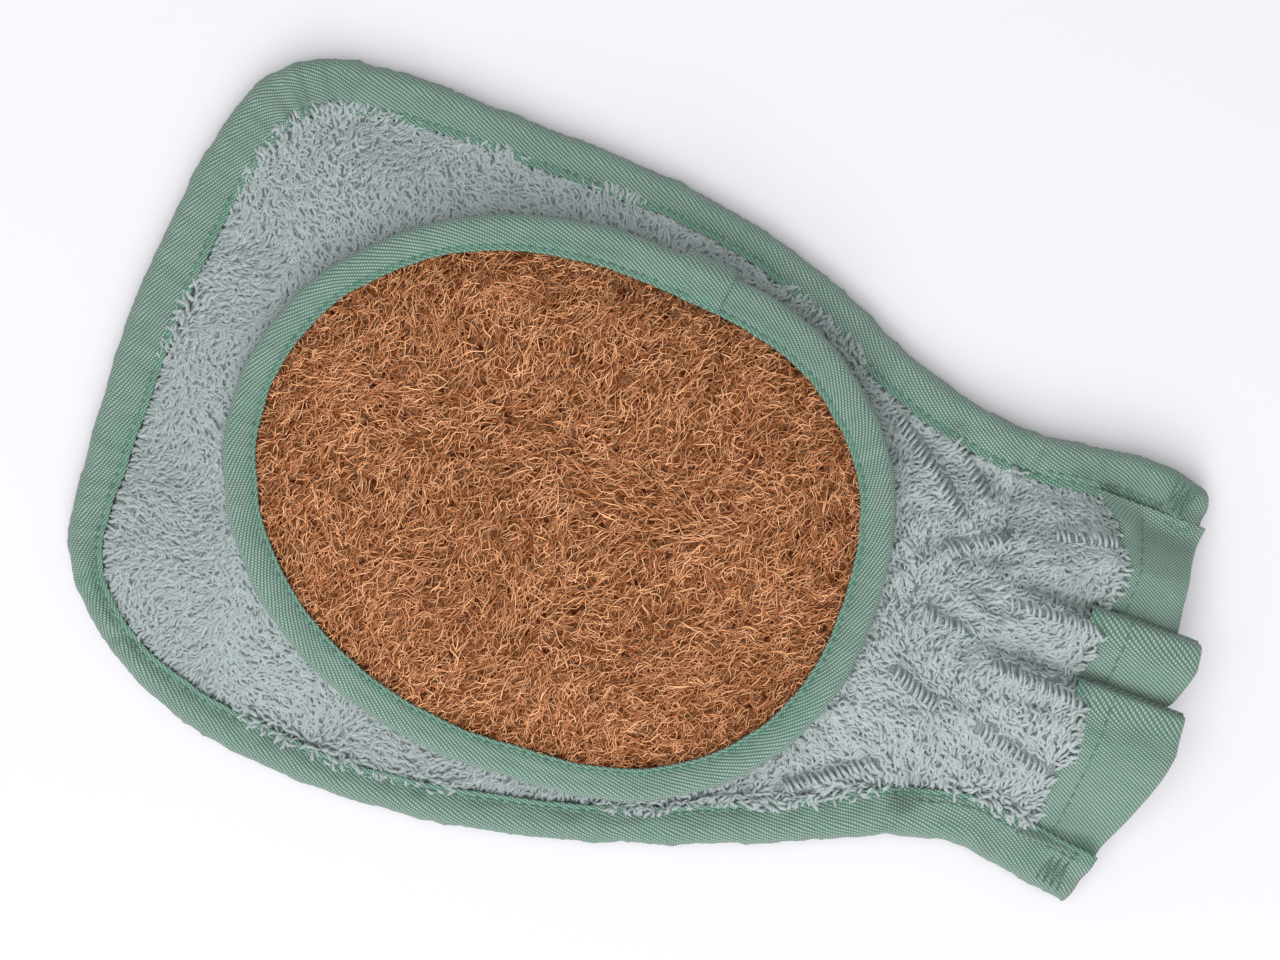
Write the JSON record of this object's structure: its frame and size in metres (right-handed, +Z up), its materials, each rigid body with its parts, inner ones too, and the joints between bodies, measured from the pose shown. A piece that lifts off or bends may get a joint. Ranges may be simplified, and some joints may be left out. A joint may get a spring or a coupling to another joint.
{
  "type": "loofah bath mitt",
  "caption": "Hand-pocket bath mitt for scrubbing the back: two terry panels joined by bias tape, with a tape-bound oval loofah pad on the front and an elastic-gathered wrist.",
  "frame": {"origin": "under the middle of the mitt's bounding box, on the surface it lies on", "axes": "+Y from the wrist opening to the fingertip end, +Z up out of the loofah pad, +X to the right seen from above with the fingertip end away"},
  "size_m": [0.1498, 0.2392, 0.0218],
  "materials": {
    "terry": "aqua-grey cut and loop terry towelling",
    "bias_tape": "sea green twill bias tape",
    "loofah": "orange-brown curly plant fibre",
    "backing_cloth": "plain off-white cotton",
    "elastic": "woven white elastic tape",
    "thread": "twisted green sewing thread"
  },
  "bodies": {
    "root": {"back_panel": "terry", "front_panel": "terry", "edge_binding": "bias_tape", "edge_needle_thread": "thread", "edge_bobbin_thread": "thread", "cuff_band_front": "bias_tape", "cuff_band_back": "bias_tape", "cuff_front_needle_thread": "thread", "cuff_front_bobbin_thread": "thread", "cuff_back_needle_thread": "thread", "wrist_elastic_front": "elastic", "wrist_elastic_back": "elastic", "elastic_zigzag_front": "thread", "elastic_zigzag_back": "thread", "corner_tack_left": "thread", "corner_tack_right": "thread", "pad_binding": "bias_tape", "loofah_pad": "loofah", "pad_backing_cloth": "backing_cloth", "pad_needle_thread": "thread", "pad_bobbin_thread": "thread"}
  },
  "joints": []
}
